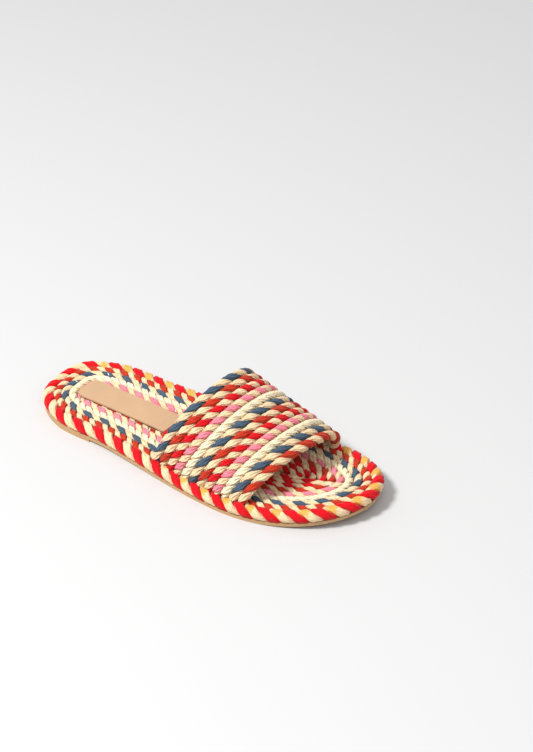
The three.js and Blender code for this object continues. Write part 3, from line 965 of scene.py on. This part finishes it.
def stitch_tree():
    """Short thread stitches set along a path, each lying across it."""
    tree = bpy.data.node_groups.new("thread_stitches", "GeometryNodeTree")
    sockets(
        tree,
        [
            ("Geometry", "NodeSocketGeometry", None), ("Spacing", "NodeSocketFloat", 0.02),
            ("Span", "NodeSocketFloat", 0.004), ("Thread", "NodeSocketFloat", 0.0004),
            ("Slant", "NodeSocketFloat", 0.5), ("Material", "NodeSocketMaterial", None),
        ],
        [("Geometry", "NodeSocketGeometry", None)],
    )
    given = node(tree, "NodeGroupInput").outputs
    spaced = node(tree, "GeometryNodeResampleCurve", {
        "Curve": given["Geometry"], "Length": given["Spacing"],
    }, mode="LENGTH")
    points = node(tree, "GeometryNodeCurveToPoints", {"Curve": spaced.outputs[0]}, mode="EVALUATED")
    arc = node(tree, "GeometryNodeCurveQuadraticBezier", {
        "Resolution": 6, "Start": (0.0, -0.5, -0.16), "Middle": (0.0, 0.0, 0.2), "End": (0.0, 0.5, -0.16),
    })
    profile = node(tree, "GeometryNodeCurvePrimitiveCircle", {"Resolution": 6, "Radius": 1.0})
    scaled = node(tree, "GeometryNodeTransform", {"Geometry": arc.outputs[0]})
    size = node(tree, "ShaderNodeCombineXYZ", {0: given["Span"], 1: given["Span"], 2: given["Span"]})
    tree.links.new(size.outputs[0], scaled.inputs["Scale"])
    ring = node(tree, "GeometryNodeTransform", {"Geometry": profile.outputs[0]})
    width = node(tree, "ShaderNodeCombineXYZ", {0: given["Thread"], 1: given["Thread"], 2: given["Thread"]})
    tree.links.new(width.outputs[0], ring.inputs["Scale"])
    tube = node(tree, "GeometryNodeCurveToMesh", {
        "Curve": scaled.outputs[0], "Profile Curve": ring.outputs[0], "Fill Caps": True,
    })
    tangent = points.outputs["Tangent"]
    lie = node(tree, "FunctionNodeAlignRotationToVector", {"Vector": tangent}, axis="X")
    slanted = node(tree, "FunctionNodeRotateRotation", {
        "Rotation": lie.outputs[0],
        "Rotate By": node(tree, "FunctionNodeAxisAngleToRotation", {
            "Axis": UP, "Angle": given["Slant"],
        }).outputs[0],
    }, rotation_space="LOCAL")
    placed_stitches = node(tree, "GeometryNodeInstanceOnPoints", {
        "Points": points.outputs[0], "Instance": tube.outputs[0], "Rotation": slanted.outputs[0],
    })
    real = node(tree, "GeometryNodeRealizeInstances", {"Geometry": placed_stitches.outputs[0]})
    smooth = node(tree, "GeometryNodeSetShadeSmooth", {"Geometry": real.outputs[0]})
    finished = node(tree, "GeometryNodeSetMaterial", {
        "Geometry": smooth.outputs[0], "Material": given["Material"],
    })
    node(tree, "NodeGroupOutput", {"Geometry": finished.outputs[0]})
    return tree


def make_stitches():
    """The thread that sews the coil, where it shows: over the blue rope, and between the pink and rust."""
    pitch = mm(sizes().pitch)
    tree = stitch_tree()
    thread = thread_material()
    for name, (ring, spacing) in SEWING.items():
        plan = bed_ring(bed_edge() + pitch * ring)
        top = bed_top(plan[:, 1]) + THREAD_PROUD - under_patch(plan)
        source = path_object(name + "_path", placed(np.c_[plan, top]), True)
        piece = through_nodes(source, tree, name, {
            "Spacing": spacing * MM, "Span": STITCH_SPAN * pitch * MM, "Thread": THREAD * MM,
            "Slant": STITCH_SLANT, "Material": thread,
        })
        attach(piece, BODY)


# Stage

def add_camera():
    lens = bpy.data.cameras.new("camera")
    lens.sensor_width = SENSOR
    lens.lens = FOCAL_PIXELS * SENSOR / PHOTO_HEIGHT
    lens.clip_start, lens.clip_end = 0.01, 50
    camera = bpy.data.objects.new("camera", lens)
    camera.location = CAMERA_PLACE
    aim = Vector(CAMERA_AIM) - Vector(CAMERA_PLACE)
    camera.rotation_euler = aim.to_track_quat("-Z", "Y").to_euler()
    bpy.context.scene.collection.objects.link(camera)
    bpy.context.scene.camera = camera


def add_floor():
    corners = [(-1, -1), (1, -1), (1, 1), (-1, 1)]
    mesh = bpy.data.meshes.new("floor")
    mesh.from_pydata([(x * FLOOR_HALF, y * FLOOR_HALF, 0) for x, y in corners], [], [(0, 1, 2, 3)])
    material, _, shader = blank_material("floor", 0.9)
    shader.inputs["Base Color"].default_value = (FLOOR_GREY, FLOOR_GREY, FLOOR_GREY, 1)
    shader.inputs["Specular IOR Level"].default_value = 0.1
    mesh.materials.append(material)
    floor = bpy.data.objects.new("floor", mesh)
    bpy.context.scene.collection.objects.link(floor)


def add_lamp(name, place, size, power):
    data = bpy.data.lights.new(name, "AREA")
    data.shape = "DISK"
    data.size = size
    data.energy = power
    lamp = bpy.data.objects.new(name, data)
    lamp.location = place
    lamp.rotation_euler = (-Vector(place)).to_track_quat("-Z", "Y").to_euler()
    bpy.context.scene.collection.objects.link(lamp)


def make_stage():
    """Camera, floor and light. The reds of the photograph need the Standard view transform."""
    add_camera()
    add_floor()
    for name, (place, size, power) in LAMPS.items():
        add_lamp(name, place, size, power)
    world = bpy.data.worlds.new("studio")
    world.use_nodes = True
    background = world.node_tree.nodes["Background"]
    background.inputs["Color"].default_value = (1, 1, 1, 1)
    background.inputs["Strength"].default_value = ROOM_LIGHT
    bpy.context.scene.world = world
    bpy.context.scene.view_settings.view_transform = "Standard"


# Operators, panel and registration

class SANDAL_OT_leather(bpy.types.Operator):
    """Make the leather sheet and the heel lift"""

    bl_idname = "sandal.leather"
    bl_label = "Leather sole"
    bl_options = {"REGISTER", "UNDO"}

    def execute(self, context):
        make_leather()
        return {"FINISHED"}


class SANDAL_OT_rim(bpy.types.Operator):
    """Make the thick rope round the rim"""

    bl_idname = "sandal.rim"
    bl_label = "Rim rope"
    bl_options = {"REGISTER", "UNDO"}

    def execute(self, context):
        make_rim()
        return {"FINISHED"}


class SANDAL_OT_bed(bpy.types.Operator):
    """Make the coiled ropes of the footbed"""

    bl_idname = "sandal.bed"
    bl_label = "Coiled footbed"
    bl_options = {"REGISTER", "UNDO"}

    def execute(self, context):
        make_bed()
        return {"FINISHED"}


class SANDAL_OT_stitches(bpy.types.Operator):
    """Make the thread that sews the coil"""

    bl_idname = "sandal.stitches"
    bl_label = "Sewing thread"
    bl_options = {"REGISTER", "UNDO"}

    def execute(self, context):
        make_stitches()
        return {"FINISHED"}


class SANDAL_OT_patch(bpy.types.Operator):
    """Make the leather patch on the heel"""

    bl_idname = "sandal.patch"
    bl_label = "Heel patch"
    bl_options = {"REGISTER", "UNDO"}

    def execute(self, context):
        make_patch()
        return {"FINISHED"}


class SANDAL_OT_strap(bpy.types.Operator):
    """Make the strap's twelve ropes"""

    bl_idname = "sandal.strap"
    bl_label = "Strap"
    bl_options = {"REGISTER", "UNDO"}

    def execute(self, context):
        make_strap()
        return {"FINISHED"}


class SANDAL_OT_stage(bpy.types.Operator):
    """Make the floor, the lights and the camera"""

    bl_idname = "sandal.stage"
    bl_label = "Stage"
    bl_options = {"REGISTER", "UNDO"}

    def execute(self, context):
        make_stage()
        return {"FINISHED"}


STEPS = (
    SANDAL_OT_stage, SANDAL_OT_leather, SANDAL_OT_rim, SANDAL_OT_bed, SANDAL_OT_stitches,
    SANDAL_OT_patch, SANDAL_OT_strap,
)


class SANDAL_PT_panel(bpy.types.Panel):
    """Lists the sandal's steps"""

    bl_idname = "SANDAL_PT_panel"
    bl_label = "Rope slide sandal"
    bl_space_type = "VIEW_3D"
    bl_region_type = "UI"
    bl_category = "Sandal"

    def draw(self, context):
        for step in STEPS:
            self.layout.operator(step.bl_idname)
        for values in (context.scene.sandal_sizes, context.scene.sandal_colours):
            for name in type(values).__annotations__:
                self.layout.prop(values, name)


CLASSES = (SandalSizes, SandalColours, *STEPS, SANDAL_PT_panel)


def register():
    for cls in CLASSES:
        bpy.utils.register_class(cls)
    bpy.types.Scene.sandal_sizes = bpy.props.PointerProperty(type=SandalSizes)
    bpy.types.Scene.sandal_colours = bpy.props.PointerProperty(type=SandalColours)


def unregister():
    del bpy.types.Scene.sandal_colours
    del bpy.types.Scene.sandal_sizes
    for cls in reversed(CLASSES):
        bpy.utils.unregister_class(cls)


def main():
    register()
    for step in STEPS:
        getattr(bpy.ops.sandal, step.bl_idname.split(".")[1])()


if __name__ == "__main__":
    main()
